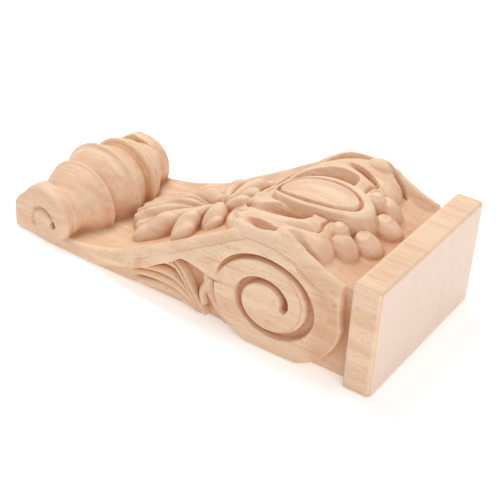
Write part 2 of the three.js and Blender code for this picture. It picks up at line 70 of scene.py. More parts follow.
def curveThrough(points, at):
    # a soft curve through [place, value] pairs
    places, values = np.array(points, float).T
    slopes = np.gradient(values, places)
    at = np.clip(at, places[0], places[-1])
    i = np.clip(np.searchsorted(places, at, side="right") - 1, 0, len(places) - 2)
    span = places[i + 1] - places[i]
    t = (at - places[i]) / span
    start = values[i] * (1 + 2 * t) * (1 - t) ** 2 + slopes[i] * span * t * (1 - t) ** 2
    end = values[i + 1] * t * t * (3 - 2 * t) + slopes[i + 1] * span * t * t * (t - 1)
    return start + end


def routeThrough(points, count=26):
    # points on a soft line through the given ones
    points = np.array(points, float)
    gaps = np.hypot(*np.diff(points, axis=0).T)
    places = np.concatenate([[0], np.cumsum(gaps)])
    at = np.linspace(0, places[-1], count)
    return [curveThrough(np.stack([places, points[:, k]], 1), at) for k in range(2)]


def nearRoute(x, y, route):
    # distance to a route, and the share of its length at the nearest place
    best = np.full(np.broadcast(x, y).shape, 1e9)
    along = np.zeros_like(best)
    px, py = route
    for i in range(len(px) - 1):
        dx, dy = px[i + 1] - px[i], py[i + 1] - py[i]
        t = np.clip(((x - px[i]) * dx + (y - py[i]) * dy) / (dx * dx + dy * dy), 0, 1)
        distance = np.hypot(x - px[i] - t * dx, y - py[i] - t * dy)
        closer = distance < best
        best = np.where(closer, distance, best)
        along = np.where(closer, (i + t) / (len(px) - 1), along)
    return best, along


def joined(a, b, blend=0.5):
    # the higher of two surfaces, with a soft crease of about the given size
    return 0.5 * (a + b + np.sqrt((a - b) ** 2 + blend * blend))


def met(a, b, blend=0.5):
    return -joined(-a, -b, blend)


def leaning(x, down, centre, half, lean):
    # squared reach in an ellipse that leans by some degrees
    turn = math.radians(lean)
    dx, dd = x - centre[0], down - centre[1]
    u = (dx * math.cos(turn) - dd * math.sin(turn)) / half[0]
    v = (dx * math.sin(turn) + dd * math.cos(turn)) / half[1]
    return u * u + v * v


def knob(x, down, centre, half, lean, top, foot):
    # a rounded knob that stands from foot to top
    reach = leaning(x, down, centre, half, lean)
    return np.where(reach < 1.3, foot + (top - foot) * np.sqrt(np.clip(1 - reach, 0, 1)), 0)


def rib(x, down, points, half, rise, floor, sharp=2.0):
    # a leaf rib on a route: half is its half width and rise its height along the route
    distance, along = nearRoute(x, down, routeThrough(points))
    width = curveThrough(half, along)
    height = curveThrough(rise, along)
    share = np.clip(distance / width, 0, 1)
    return np.where(distance < width, floor + height * np.sqrt(1 - share ** sharp), 0)


# The front: ground, straps and carving

ground = {
    "floor": [[6, 42], [13, 41.5], [17, 40.3], [24, 40.8], [30, 43], [36, 45.8], [45, 47.3], [55, 47.8],
              [63, 46.8], [70, 44.6], [77, 41.3], [85, 36.8], [92, 33], [100, 28], [110, 22], [120, 17],
              [130, 12.6], [140, 9], [150, 6.6], [160, 5.5], [200, 5.5]],
    "crest": [[6, 41.5], [13, 41.8], [17, 43], [23, 45], [29, 47.3], [34, 49.7], [42, 53.1], [48, 54.4],
              [55, 54.7], [63, 53.5], [71, 49.4], [77.5, 45], [84.9, 41], [91.7, 36.8], [103.5, 29.8],
              [115.9, 22.8], [124.9, 17.5], [132, 14], [140, 11.3], [150, 8.4], [160, 6.4], [172, 5.5],
              [200, 5.5]],
}
strap = {
    "face": [[0, 44], [122, 44], [130, 43.5], [140, 42], [150, 40.5], [160, 39.5], [168, 38],
             [176, 36], [200, 36]],
    "least": 0.5,
    "crestAt": [[0, 39.2], [60, 39.6], [120, 39.5], [150, 38.2], [200, 37.5]],
    "footAt": [[13, 36], [30, 35.2], [45, 34.5], [70, 34], [95, 33.5], [130, 33.8], [150, 34.5], [200, 34]],
    "bevel": [[13, 5], [20, 8], [40, 9.2], [100, 9.2], [118, 7], [130, 5], [142, 3], [160, 1.2], [200, 1]],
}


def groundHeight(x, down):
    floor = curveThrough(ground["floor"], down)
    crest = np.maximum(curveThrough(ground["crest"], down), floor)
    foot = curveThrough(strap["footAt"], down)
    crestAt = curveThrough(strap["crestAt"], down)
    face = curveThrough(strap["face"], down)
    bevel = curveThrough(strap["bevel"], down)
    rising = floor + (crest - floor) * soft((x - foot) / (crestAt - foot))
    beyond = np.clip((x - crestAt) / np.maximum(face + 0.05 - crestAt, strap["least"]), 0, 1)
    fall = bevel * (1 - np.sqrt(1 - beyond ** 2))
    return np.where(x < crestAt, rising, crest - fall), floor, fall


boss = {
    "centre": 55.6, "half": (9.5, 18.5),
    "top": [[25, 47.5], [28, 51], [31, 53.4], [37, 55.3], [45, 56.2], [55, 56.1], [65, 54.9], [72, 52.8],
            [77, 50.5], [81, 47.8], [85, 44.2]],
    "dome": 1.3, "grooveHalf": 0.8, "grooveAt": 0.9, "grooveFloor": 3.7,
    "rimWide": 5.4, "rimUp": 3.6, "rimDown": 1.8, "rimBelow": 1.3, "rimArch": 1.2, "rimFall": 3.2,
}


def addBoss(height, x, down, floor):
    # a domed oval, a narrow groove round it and a broad rounded rim
    dd = down - boss["centre"]
    reach = np.hypot(x / boss["half"][0], dd / boss["half"][1])
    outside = np.hypot(x, dd) * (1 - 1 / np.maximum(reach, 1e-3))
    top = curveThrough(boss["top"], down)
    dome = top - boss["dome"] * np.minimum(reach, 1.15) ** 2.4
    tipward = -dd / (np.hypot(x, dd) + 1e-6)
    wide = boss["rimWide"] + np.where(tipward > 0, boss["rimUp"], boss["rimDown"]) * tipward ** 3
    across = (outside - boss["grooveAt"]) / (wide - boss["grooveAt"])
    arch = boss["rimArch"] * (2 * across - 0.9) ** 2
    rim = top - boss["rimBelow"] - arch - boss["rimFall"] * soft(3.2 * across - 2.3)
    cut = soft(1.5 - np.abs(outside - boss["grooveAt"]) / boss["grooveHalf"])
    whole = np.where(outside < boss["grooveAt"], dome, rim)
    whole = whole + (np.minimum(whole, top - boss["grooveFloor"]) - whole) * cut
    return height + (whole - height) * soft((1.1 - across) / 0.16)


shell = {
    "top": [[13, 41], [20, 44.2], [24, 46], [28, 48.2], [31, 50], [35, 51.8], [40, 53.2], [48, 54.8],
            [55, 55.2], [65, 53.9], [72, 51.2], [80, 46.8], [88, 41.4], [95, 36.6], [100, 33]],
    "sag": 1.5, "sagAt": 27, "sagHalf": 11, "inner": 2.4, "innerTo": 22,
    "lowerEdge": [[-2, 98], [6, 97], [12, 94.6], [19, 90], [26, 84.6], [33, 78.8], [38.5, 73.5],
                  [44, 66]],
    "edgeLean": 0.74, "edgeRound": 3.2, "begins": 32.5, "beginRound": 7.5,
    "lobes": [
        {"centre": (8.3, 26.0), "half": (6.4, 6.8), "lean": 0, "flat": 1.05},
        {"centre": (19.0, 31.4), "half": (5.8, 6.2), "lean": 22, "flat": 1.2},
        {"centre": (29.6, 39.6), "half": (7.6, 8.6), "lean": 30, "flat": 1.1},
    ],
}


def inEllipse(x, down, lobe):
    # one in the middle of a lobe, falling ever more steeply to nothing at its outline
    reach = leaning(x, down, lobe["centre"], lobe["half"], lobe["lean"])
    return np.clip(1 - reach ** lobe["flat"], 0, 1) ** 0.5


head = {
    "hollows": [
        {"points": [[18.8, 53.6], [19.6, 58], [19.5, 64], [18, 70], [15.3, 76], [11, 81.6], [6.5, 86],
                    [3, 90]],
         "half": [[0, 5.2], [0.14, 5.7], [0.3, 5.4], [0.5, 3.9], [0.65, 2.3], [0.85, 1.3], [1, 0.8]],
         "deep": [[0, 6.4], [0.3, 5.8], [0.5, 4.2], [0.7, 2.6], [0.9, 2], [1, 0.6]], "wall": 1.7},
        {"points": [[38.4, 53.4], [38.3, 58], [36.8, 63], [34.2, 67.6], [31, 72]],
         "half": [[0, 1.4], [0.25, 2.5], [0.6, 2.4], [0.85, 1.2], [1, 0.4]],
         "deep": [[0, 2.4], [0.2, 4.6], [0.6, 4.4], [0.85, 2], [1, 0.3]], "wall": 1.3},
        {"points": [[38.4, 46.6], [37.8, 43], [37.0, 39.4], [36.1, 35.4], [34.6, 31.4]],
         "half": [[0, 0.7], [0.3, 1.3], [0.7, 1.1], [1, 0.7]],
         "deep": [[0, 0.6], [0.2, 2.2], [0.5, 4.4], [0.8, 4.8], [1, 0.8]], "wall": 1.0},
        {"points": [[10.6, 39.6], [12.4, 42], [15.6, 42.6], [19.4, 41.9], [22.6, 40.9], [24.8, 41.4]],
         "half": [[0, 0.6], [0.5, 0.5], [1, 0.9]], "deep": [[0, 1.0], [0.5, 1.7], [1, 2.6]], "wall": 1.1},
        {"points": [[23.6, 76.5], [20.2, 81], [15, 86.6], [9.5, 91.4]],
         "half": [[0, 0.3], [0.3, 1.1], [0.8, 1.0], [1, 0.4]],
         "deep": [[0, 0.3], [0.3, 1.7], [0.8, 1.5], [1, 0.3]], "wall": 1.2},
        {"points": [[33.4, 71.6], [29.8, 76.8], [24, 82.6], [17, 88.4]],
         "half": [[0, 0.3], [0.3, 1.0], [0.8, 0.9], [1, 0.4]],
         "deep": [[0, 0.2], [0.3, 1.3], [0.8, 1.2], [1, 0.2]], "wall": 1.2},
    ],
    "crescent": {"points": [[23.6, 40.6], [26.2, 41.6], [28.6, 45.6], [30.6, 50.4], [31.6, 55.4],
                            [31.4, 60.5]],
                 "deep": [[0, 1.6], [0.25, 5], [0.55, 5.6], [0.8, 3], [1, 0]], "wide": 4.6, "wall": 0.9},
    "curl": {"centre": (15.6, 36.6), "half": (4.6, 4.6), "top": 53.4, "foot": 48, "ringAt": 0.62,
             "ringHalf": 0.2, "ringDeep": 0.35},
    "end": {"centre": (36.8, 46.8), "half": (4.4, 6.4), "lean": -4, "top": 57.2, "foot": 53.4},
    "dish": {"centre": (8.8, 28.6), "half": (3.0, 2.2), "deep": 0.35, "lip": 0.3},
    "stipple": {"deep": 0.35, "spacing": 1.5},
}


def stippled(x, down):
    # small dents left by the carver's punch, on a staggered grid
    step = head["stipple"]["spacing"]
    row = np.floor(down / step)
    across = (x + np.where(row % 2 == 0, 0, step / 2) + 0.3 * np.sin(row * 4.1)) / step
    u = across - np.round(across)
    v = down / step - row - 0.5
    return head["stipple"]["deep"] * soft(1.15 - 2.6 * np.hypot(u, v))


def shellHeight(x, down, floor):
    top = curveThrough(shell["top"], down)
    top = top - shell["sag"] * soft(1 - np.abs(x - shell["sagAt"]) / shell["sagHalf"])
    top = top - shell["inner"] * soft((shell["innerTo"] - x) / 7) * soft((down - 30) / 6)
    above = (curveThrough(shell["lowerEdge"], x) - down) * shell["edgeLean"]
    body = np.sqrt(1 - (1 - np.clip(above / shell["edgeRound"], 0, 1)) ** 2)
    body = body * soft((down - shell["begins"]) / shell["beginRound"])
    filled = body
    for lobe in shell["lobes"]:
        filled = np.maximum(filled, inEllipse(x, down, lobe))
    return floor + np.maximum(top - floor, 0) * filled


def addHead(height, x, down, floor, fall):
    whole = shellHeight(x, down, floor)
    whole = joined(whole, knob(x, down, **head["end"]), 0.5)
    whole = joined(height, whole - fall, 0.3)
    cut = np.zeros_like(whole)
    for hollow in head["hollows"]:
        distance, along = nearRoute(x, down, routeThrough(hollow["points"]))
        half = curveThrough(hollow["half"], along)
        deep = curveThrough(hollow["deep"], along)
        cut = np.maximum(cut, deep * soft((half - distance) / hollow["wall"] + 0.5))
    crescent = head["crescent"]
    distance, along = nearRoute(x, down, routeThrough(crescent["points"]))
    edgeX, edgeDown = routeThrough(crescent["points"])
    inner = np.where(x < np.interp(down, edgeDown, edgeX), distance, -distance)
    slope = np.clip(1 - inner / crescent["wide"], 0, 1) ** 1.25
    wall = soft(inner / crescent["wall"])
    cut = np.maximum(cut, curveThrough(crescent["deep"], along) * slope * wall)
    # the punched ground lies in the long hollow's lower end and in the crescent
    punched = soft((cut - 2.2) / 1.5) * soft((down - 58) / 4) * soft((24 - x) / 3)
    inCrescent = soft((x - 23) / 2) * soft((33 - x) / 2) * soft((58 - down) / 4)
    punched = np.maximum(punched, soft(cut - 2) * inCrescent)
    dish = head["dish"]
    reach = leaning(x, down, dish["centre"], dish["half"], 0)
    cut = cut + dish["deep"] * soft(1.25 - reach) - dish["lip"] * soft(1 - np.abs(reach - 1.35) / 0.7)
    whole = whole - cut - punched * stippled(x, down)
    curl = head["curl"]
    reach = np.sqrt(leaning(x, down, curl["centre"], curl["half"], 0))
    roll = curl["foot"] + (curl["top"] - curl["foot"]) * np.clip(1 - reach ** 1.9, 0, 1) ** 0.5
    roll = roll - curl["ringDeep"] * soft(1 - np.abs(reach - curl["ringAt"]) / curl["ringHalf"])
    return joined(whole, np.where(reach < 1.05, roll, 0), 0.2)


neck = {
    "lobes": [
        {"points": [[7, 112], [12, 119.5], [16.5, 126.5], [20.5, 132.5]],
         "half": [[0, 3.2], [0.4, 6], [0.8, 8], [1, 6.6]],
         "rise": [[0, 8], [0.4, 10], [0.8, 10], [1, 7]]},
        {"points": [[6, 107], [11, 109.5], [16, 110.5], [21, 110], [24.5, 108.5]],
         "half": [[0, 3], [0.4, 5.4], [0.8, 6.8], [1, 5.8]],
         "rise": [[0, 8], [0.4, 10.2], [0.8, 10], [1, 6.6]]},
        {"points": [[5, 103], [10.5, 101], [16, 98], [20.5, 95]],
         "half": [[0, 3.4], [0.4, 5.4], [0.8, 5.8], [1, 4.6]],
         "rise": [[0, 7.4], [0.4, 9.4], [0.8, 8.4], [1, 5]]},
    ],
    "fan": {"root": 104.5, "ribAngle": 7.9, "ribs": 3.4, "reach": 47, "shorter": 5, "scallop": 1.6,
            "plate": [[0, 7.6], [0.2, 9.8], [0.45, 11.2], [0.7, 10.2], [0.9, 7.2], [1, 4.8]], "ridge": 1.5},
}


def addNeck(height, x, down, floor):
    for lobe in neck["lobes"]:
        height = joined(height, rib(x, down, lobe["points"], lobe["half"], lobe["rise"], floor, 2.2), 0.4)
    fan = neck["fan"]
    away = np.maximum(np.hypot(x, down - fan["root"]), 1e-3)
    angle = np.degrees(np.arctan2(x, down - fan["root"]))
    place = angle / fan["ribAngle"]
    off = 2 * np.abs(place - np.round(np.minimum(place, 3)))
    reach = fan["reach"] - fan["shorter"] * (np.clip(place, 0, 4) / 3) ** 2.5 - fan["scallop"] * off ** 2
    plate = curveThrough(fan["plate"], away / reach)
    ridge = fan["ridge"] * np.clip(away / 18, 0.3, 1) * (1 - np.clip(off, 0, 1.2) ** 1.6)
    edge = soft((reach - away) / 1.2) * soft((fan["ribs"] - place) * away / 90 + 0.3)
    whole = floor + (plate + ridge) * edge
    return joined(height, np.where(down > fan["root"] - 3, whole, 0), 0.15)


knot = {
    "pads": [
        {"centre": (5.0, 94.2), "half": (4.5, 7.6), "rise": 8.2, "lean": 14},
        {"centre": (2.4, 86.4), "half": (3.4, 4.6), "rise": 5.6, "lean": 0},
    ],
}


def addKnot(height, x, down, floor):
    for pad in knot["pads"]:
        reach = leaning(x, down, pad["centre"], pad["half"], pad["lean"])
        top = floor + pad["rise"] * np.clip(1 - reach ** 1.2, 0, 1) ** 0.5
        height = joined(height, np.where(reach < 1, top, 0), 0.2)
    return height


def frontHeight(x, down):
    height, floor, fall = groundHeight(x, down)
    height = addNeck(height, x, down, floor)
    height = addHead(height, x, down, floor, fall)
    height = addBoss(height, x, down, floor)
    return addKnot(height, x, down, floor)


# The sides: volute, strap face and leaf

volute = {
    "down": 50.7, "out": 23.6, "flat": 0.86, "face": 44.0,
    "start": 25.9, "shrink": 1.91, "from": 0.2, "to": 3 * math.pi + 0.25,
    "width": [[0.2, 1.2], [1.0, 2.3], [1.6, 2.4], [2.6, 3.6], [3.3, 4.0], [4.2, 3.4], [5.2, 2.4],
              [6.3, 3.2], [7.4, 3.0], [8.6, 3.2], [9.4, 3.2], [9.7, 2.2]],
    "depth": [[0.2, 0.8], [0.7, 2.6], [3.1, 3.4], [6, 3.0], [7.5, 4.2], [9.4, 4.4], [9.7, 3]],
    "rimNear": 26.4, "rimGrow": 2.48,
    "slabEdge": [[0, 16.5], [23.6, 16.5], [30, 17.5], [38, 18], [60, 19]],
}
strapLower = [[0, 23.6], [76, 23.6], [80, 24.2], [88, 26.5], [95, 26.5], [100, 23], [108, 18], [116, 13],
              [123, 9.7], [134, 6], [146, 2.3], [160, 0], [168, -3], [200, -9]]

sideLeaf = {
    "floor": 38.6, "root": 37.5, "from": 74, "to": 127.5,
    "blades": [
        {"points": [[121, 3.0], [108, 4.6], [96, 3.8], [88, 1.2]], "half": 2.9, "top": 41.2},
        {"points": [[121.5, 7.6], [110, 9.4], [99, 8.6], [91, 5.0], [86, 1.6]],
         "half": 2.7, "top": 41.6},
        {"points": [[119, 11.4], [112, 13.4], [103, 13.8], [96, 11.4], [91, 7.6]],
         "half": 2.6, "top": 41.8},
        {"points": [[110, 18.2], [104, 19.6], [99, 18.6]], "half": 2.2, "top": 41.6},
        {"points": [[103, 22.4], [98.5, 19.6], [94, 14.6], [89.5, 8], [84.5, 2.4]],
         "half": 1.15, "top": 43.0},
        {"points": [[100, 23.4], [96, 20.4], [92, 14.8], [87.6, 8.2], [82.6, 2.2]],
         "half": 1.15, "top": 43.0},
        {"points": [[80.6, 21], [83.4, 16.6], [85.4, 11.8], [84.6, 7]], "half": 2.6, "top": 42.4},
    ],
    "ledge": [[82.5, 20.5], [80.8, 14], [76.8, 8.5], [70, 3.5]], "ledgeTop": 42.0, "ledgeHalf": 2.6,
}


def sidePlane(down):
    share = soft((down - block["tailFrom"]) / (block["tailTo"] - block["tailFrom"]))
    return block["side"] + (block["tailSide"] - block["side"]) * share


def voluteTurn(down, out):
    dd = down - volute["down"]
    dp = (out - volute["out"]) / volute["flat"]
    return np.hypot(dd, dp), np.arctan2(dp, dd)


def plateInside(down, out):
    # how far a place lies inside the outline of the volute and the strap's face
    reach, turn = voluteTurn(down, out)
    rim = volute["rimNear"] + volute["rimGrow"] * np.abs(turn)
    disc = np.where(out < volute["out"], rim - reach, -9)
    band = np.minimum(out - curveThrough(strapLower, down), down - curveThrough(volute["slabEdge"], out))
    return np.maximum(disc, band)


def spiralCut(down, out):
    reach, turn = voluteTurn(down, out)
    cut = np.zeros_like(reach)
    for lap in range(2):
        t = np.where(turn < 0, turn + 2 * math.pi, turn) + 2 * math.pi * lap
        radius = volute["start"] - volute["shrink"] * t
        half = curveThrough(volute["width"], t) / 2
        deep = curveThrough(volute["depth"], t)
        ends = soft((t - volute["from"]) / 0.25 + 0.5) * soft((volute["to"] - t) * radius / 1.2 + 0.5)
        wall = soft((half - np.abs(reach - radius)) / 0.7 + 0.5)
        # the band inside the groove rolls over towards it on the side of the slab
        roll = np.clip(1 - (radius - half - reach) / 3.4, 0, 1) * (reach < radius)
        rolled = 1.1 * roll ** 2 * np.clip(-np.cos(t), 0, 1) * (lap == 0)
        cut = np.maximum(cut, np.maximum(deep * wall, rolled) * ends)
    return cut


def sideHeight(down, out):
    plane = sidePlane(down)
    lower = curveThrough(strapLower, down)
    along = soft((down - sideLeaf["from"]) / 4) * soft((sideLeaf["to"] - down) / 5)
    recess = along * soft((lower - out) / 1.2 + 0.3)
    height = plane + (sideLeaf["floor"] - plane) * recess
    for blade in sideLeaf["blades"]:
        distance, along = nearRoute(down, out, routeThrough(blade["points"]))
        half = blade["half"] * (0.55 + 0.45 * np.sin(np.pi * np.clip(along * 0.9 + 0.08, 0, 1)))
        share = np.clip(distance / half, 0, 1)
        top = sideLeaf["root"] + (blade["top"] - sideLeaf["root"]) * np.sqrt(1 - share ** 2)
        height = joined(height, np.where(share < 1, top, 0), 0.3)
    distance, along = nearRoute(down, out, routeThrough(sideLeaf["ledge"]))
    ledge = np.where(distance < sideLeaf["ledgeHalf"], sideLeaf["ledgeTop"] - 0.5 * (distance / 2) ** 2, 0)
    height = joined(height, ledge, 0.3)
    face = curveThrough(strap["face"], down)
    # the strap's lower edge is crisp by the volute and fades into the side further down
    inside = soft(plateInside(down, out) / (1 + 5 * soft((down - 118) / 16)) + 0.5)
    plate = face - spiralCut(down, out)
    return height + (np.maximum(plate, height) - height) * inside


# The reel and its scrolls

reel = {
    "down": 176.7, "out": 12.3,
    "radius": [[0, 23.7], [0.8, 23.5], [1.6, 22.6], [2.4, 21.9], [4, 21.3], [8, 19.6], [11, 17.8],
               [12.4, 17.1], [13.2, 17.6], [14.2, 19.5], [15.2, 20.5], [16.2, 20.3], [17.2, 19.6],
               [19, 19.1], [23, 17.2], [26, 14.9], [28.3, 13.2], [29.6, 12.7], [31, 12.5], [34, 12.5]],
    "end": 33.5,
}
scroll = {
    "down": 180.3, "out": 11.4, "radius": 15.2, "inner": 31.2, "edge": 3.0,
    "groove": [[186.4, 4.0], [188.4, 8.2], [187, 13.6], [182.6, 16.4], [178, 15.8], [174.8, 13.2],
               [173.6, 10.4]],
    "grooveHalf": 1.05, "grooveDeep": 1.7, "hole": (173.9, 10.0), "holeHalf": 1.5, "holeDeep": 4.5,
}
tail = {"from": 184, "out": 14.6, "edge": 2.5, "slope": 0.6}


def reelField(x, down, out):
    radius = curveThrough(reel["radius"], x)
    return np.maximum(np.hypot(down - reel["down"], out - reel["out"]) - radius, x - reel["end"])


def scrollField(x, down, out):
    around = np.hypot(down - scroll["down"], out - scroll["out"]) - scroll["radius"]
    slope = tail["slope"] * (out - tail["out"]) + (1 - tail["slope"]) * (down - corbelHeight)
    backing = np.maximum(np.maximum(tail["from"] - down, slope), -out)
    around = met(around, backing, 2.4)
    side = sidePlane(down)
    distance, along = nearRoute(down, out, routeThrough(scroll["groove"]))
    cut = scroll["grooveDeep"] * (0.45 + 0.55 * along) * soft((scroll["grooveHalf"] - distance) / 0.6 + 0.5)
    hole = np.hypot(down - scroll["hole"][0], out - scroll["hole"][1])
    cut = np.maximum(cut, scroll["holeDeep"] * soft((scroll["holeHalf"] - hole) / 0.6 + 0.5))
    face = x - (side - cut)
    edge = scroll["edge"]
    cornered = np.hypot(np.maximum(around + edge, 0), np.maximum(x - side + edge, 0)) - edge
    return np.maximum(np.maximum(np.maximum(around, cornered), face), scroll["inner"] - x)


def tailField(x, down, out):
    edge = tail["edge"]
    beside = np.maximum(x - block["tailSide"] + edge, 0)
    corner = np.hypot(np.maximum(out - tail["out"] + edge, 0), beside) - edge
    return np.maximum(corner, tail["from"] - down)


def slabField(x, down, out):
    edge = block["slabEdge"]
    qx = x - slabWidth / 2 + edge
    qd = np.abs(down - block["slabThick"] / 2) - block["slabThick"] / 2 + edge
    qo = out - block["slabDepth"] + edge
    outer = np.sqrt(np.maximum(qx, 0) ** 2 + np.maximum(qd, 0) ** 2 + np.maximum(qo, 0) ** 2)
    return outer + np.minimum(np.maximum(np.maximum(qx, qd), qo), 0) - edge


def corbelField(step):
    # half of the corbel as distances on a grid: x from the middle, down, out
    xs = np.arange(0, slabWidth / 2 + 2 * step, step)
    downs = np.arange(-1.5 * step, corbelHeight + 2 * step, step)
    outs = np.arange(-1.5 * step, block["mostOut"], step)
    x, down = np.meshgrid(xs, downs, indexing="ij")
    front = frontHeight(x, down)
    downSide, outSide = np.meshgrid(downs, outs, indexing="ij")
    side = sideHeight(downSide, outSide)
    field = np.empty((len(xs), len(downs), len(outs)), np.float32)
    sideSlope = np.hypot(*np.gradient(side, step))
    frontSlope = np.hypot(*np.gradient(front, step))
    for i, xi in enumerate(xs):
        fromFront = (outs[None, :] - front[i][:, None]) / np.sqrt(1 + frontSlope[i][:, None] ** 2)
        fromSide = (xi - side) / np.sqrt(1 + sideSlope ** 2)
        body = joined(fromFront, fromSide, 0.12)
        body = np.maximum(body, block["slabThick"] / 2 - downSide)
        whole = np.minimum(body, slabField(xi, downSide, outSide))
        low = downs > 150  # the reel and its scrolls lie below here
        d, o = downSide[low], outSide[low]
        foot = np.minimum(reelField(xi, d, o), scrollField(xi, d, o))
        foot = np.minimum(foot, tailField(xi, d, o))
        whole[low] = met(whole[low], foot, 0.4)
        whole = np.maximum(np.maximum(whole, -outSide), downSide - corbelHeight)
        field[i] = np.maximum(whole, -downSide)
    return field, xs, downs, outs


# Skin over the field


def skinOf(field, xs, downs, outs):
    # one vertex in each cell that the surface crosses, and one quad on each crossed edge
    inside = field < 0
    count = np.zeros(tuple(n - 1 for n in field.shape), np.uint8)
    corners = [(i, j, k) for i in (0, 1) for j in (0, 1) for k in (0, 1)]
    shape = count.shape
    for i, j, k in corners:
        count += inside[i:i + shape[0], j:j + shape[1], k:k + shape[2]]
    cells = np.argwhere((count > 0) & (count < 8))
    number = np.full(shape, -1, np.int32)
    number[tuple(cells.T)] = np.arange(len(cells))
    values = np.stack([field[tuple((cells + corner).T)] for corner in corners], 1)
    total = np.zeros((len(cells), 3))
    hits = np.zeros(len(cells))
    for a in range(8):
        for b in range(a + 1, 8):
            step = np.subtract(corners[b], corners[a])
            if np.abs(step).sum() != 1:
                continue
            va, vb = values[:, a], values[:, b]
            crossed = (va < 0) != (vb < 0)
            t = np.where(crossed, va / np.where(crossed, va - vb, 1), 0)
            total += np.where(crossed[:, None], np.array(corners[a]) + t[:, None] * step, 0)
            hits += crossed
    places = cells + total / hits[:, None]
    faces = []
    for axis in range(3):
        others = [n for n in range(3) if n != axis]
        lower = [slice(1, -1)] * 3
        lower[axis] = slice(0, -1)
        upper = list(lower)
        upper[axis] = slice(1, None)
        first, second = inside[tuple(lower)], inside[tuple(upper)]
        edges = np.argwhere(first != second)
        opened = first[tuple(edges.T)]
        base = edges.copy()
        base[:, others] += 1
        ring = []
        for back in ((1, 1), (0, 1), (0, 0), (1, 0)):
            cell = base.copy()
            cell[:, others[0]] -= back[0]
            cell[:, others[1]] -= back[1]
            ring.append(number[tuple(cell.T)])
        quad = np.stack(ring, 1)
        turned = opened if axis != 1 else ~opened
        quad[~turned] = quad[~turned][:, ::-1]
        faces.append(quad)
    step = xs[1] - xs[0]
    points = places * step + np.array([xs[0], downs[0], outs[0]])
    return points, np.concatenate(faces)


def relaxed(points, faces, rounds):
    # evens out the steps that a grid leaves, with no shrinking
    pairs = np.concatenate([faces[:, [k, (k + 1) % 4]] for k in range(4)])
    degree = sum(np.bincount(pairs[:, k], minlength=len(points)) for k in range(2))
    for share in [0.5, -0.52] * rounds:
        mean = np.stack([
            np.bincount(pairs[:, 0], points[pairs[:, 1], k], len(points))
            + np.bincount(pairs[:, 1], points[pairs[:, 0], k], len(points)) for k in range(3)], 1)
        points = points + share * (mean / degree[:, None] - points)
    return points


def meshOf(name, points, faces):
    mesh = bpy.data.meshes.new(name)
    mesh.vertices.add(len(points))
    mesh.vertices.foreach_set("co", points.astype(np.float32).ravel())
    sides = faces.shape[1]
    mesh.loops.add(faces.size)
    mesh.loops.foreach_set("vertex_index", faces.astype(np.int32).ravel())
    mesh.polygons.add(len(faces))
    mesh.polygons.foreach_set("loop_start", np.arange(0, faces.size, sides, dtype=np.int32))
    mesh.update(calc_edges=True)
    mesh.validate()
    return mesh


def hollowness(field, step, radius):
    # share of wood near each place, from a few averages of inside and outside
    wood = (field[::2, ::2, ::2] < 0).astype(np.float32)
    reach = max(1, int(round(radius / (2 * step))))
    for repeat in range(2):
        for axis in range(3):
            padded = np.concatenate([np.repeat(wood.take([0], axis), reach + 1, axis), wood,
                                     np.repeat(wood.take([-1], axis), reach, axis)], axis)
            sums = np.cumsum(padded, axis, dtype=np.float64)
            n = wood.shape[axis]
            low = sums.take(range(0, n), axis)
            high = sums.take(range(2 * reach + 1, 2 * reach + 1 + n), axis)
            wood = ((high - low) / (2 * reach + 1)).astype(np.float32)
    return wood


def sampled(grid, at):
    # reads a grid between its nodes
    at = np.clip(at, 0, np.array(grid.shape) - 1.001)
    low = at.astype(int)
    t = at - low
    value = 0
    for i in (0, 1):
        for j in (0, 1):
            for k in (0, 1):
                weight = (t[:, 0] if i else 1 - t[:, 0]) * (t[:, 1] if j else 1 - t[:, 1])
                weight = weight * (t[:, 2] if k else 1 - t[:, 2])
                value = value + weight * grid[low[:, 0] + i, low[:, 1] + j, low[:, 2] + k]
    return value


def buildCorbel():
    step = carving["step"]
    half, xs, downs, outs = corbelField(step)
    print("corbel: field", half.shape)
    field = np.concatenate([half[:0:-1], half])
    xs = np.concatenate([-xs[:0:-1], xs])
    points, faces = skinOf(field, xs, downs, outs)
    points = relaxed(points, faces, carving["soften"])
    print("corbel: skin", len(points), "points")
    placed = np.stack([points[:, 0], -points[:, 2], corbelHeight / 2 - points[:, 1]], 1) * mm
    mesh = meshOf("carvedCorbel", placed, faces)
    corbel = bpy.data.objects.new("carvedCorbel", mesh)
    bpy.context.scene.collection.objects.link(corbel)
    triangles = 2 * len(faces)
    if triangles > carving["triangles"]:
        thin = corbel.modifiers.new("thin", "DECIMATE")
        thin.ratio = carving["triangles"] / triangles
        graph = bpy.context.evaluated_depsgraph_get()
        thinned = bpy.data.meshes.new_from_object(corbel.evaluated_get(graph))
        corbel.modifiers.clear()
        corbel.data = thinned
        bpy.data.meshes.remove(mesh)
        thinned.name = "carvedCorbel"
    mesh = corbel.data
    lo, hi = [np.array(v) for v in corbelBox]
    where = np.empty(len(mesh.vertices) * 3, np.float32)
    mesh.vertices.foreach_get("co", where)
    where = np.clip(where.reshape(-1, 3), lo, hi)
    mesh.vertices.foreach_set("co", where.ravel())
    at = np.stack([(where[:, 0] / mm - xs[0]), (corbelHeight / 2 - where[:, 2] / mm - downs[0]),
                   (-where[:, 1] / mm - outs[0])], 1) / (2 * step)
    # the share of wood round each point, at a near and a wide radius, is kept on the mesh for the painted
    # shade and painted light in the wood's colour
    for name, radius in carving["hollows"].items():
        layer = mesh.attributes.new(name, "FLOAT", "POINT")
        layer.data.foreach_set("value", sampled(hollowness(field, step, radius), at).astype(np.float32))
    mesh.shade_smooth()
    mesh.update()
    print("corbel: mesh", len(mesh.polygons), "faces")
    return corbel


# Materials

def linear(red, green, blue):
    def one(v):
        v = v / 255
        return v / 12.92 if v <= 0.04045 else ((v + 0.055) / 1.055) ** 2.4
    return (one(red), one(green), one(blue), 1)


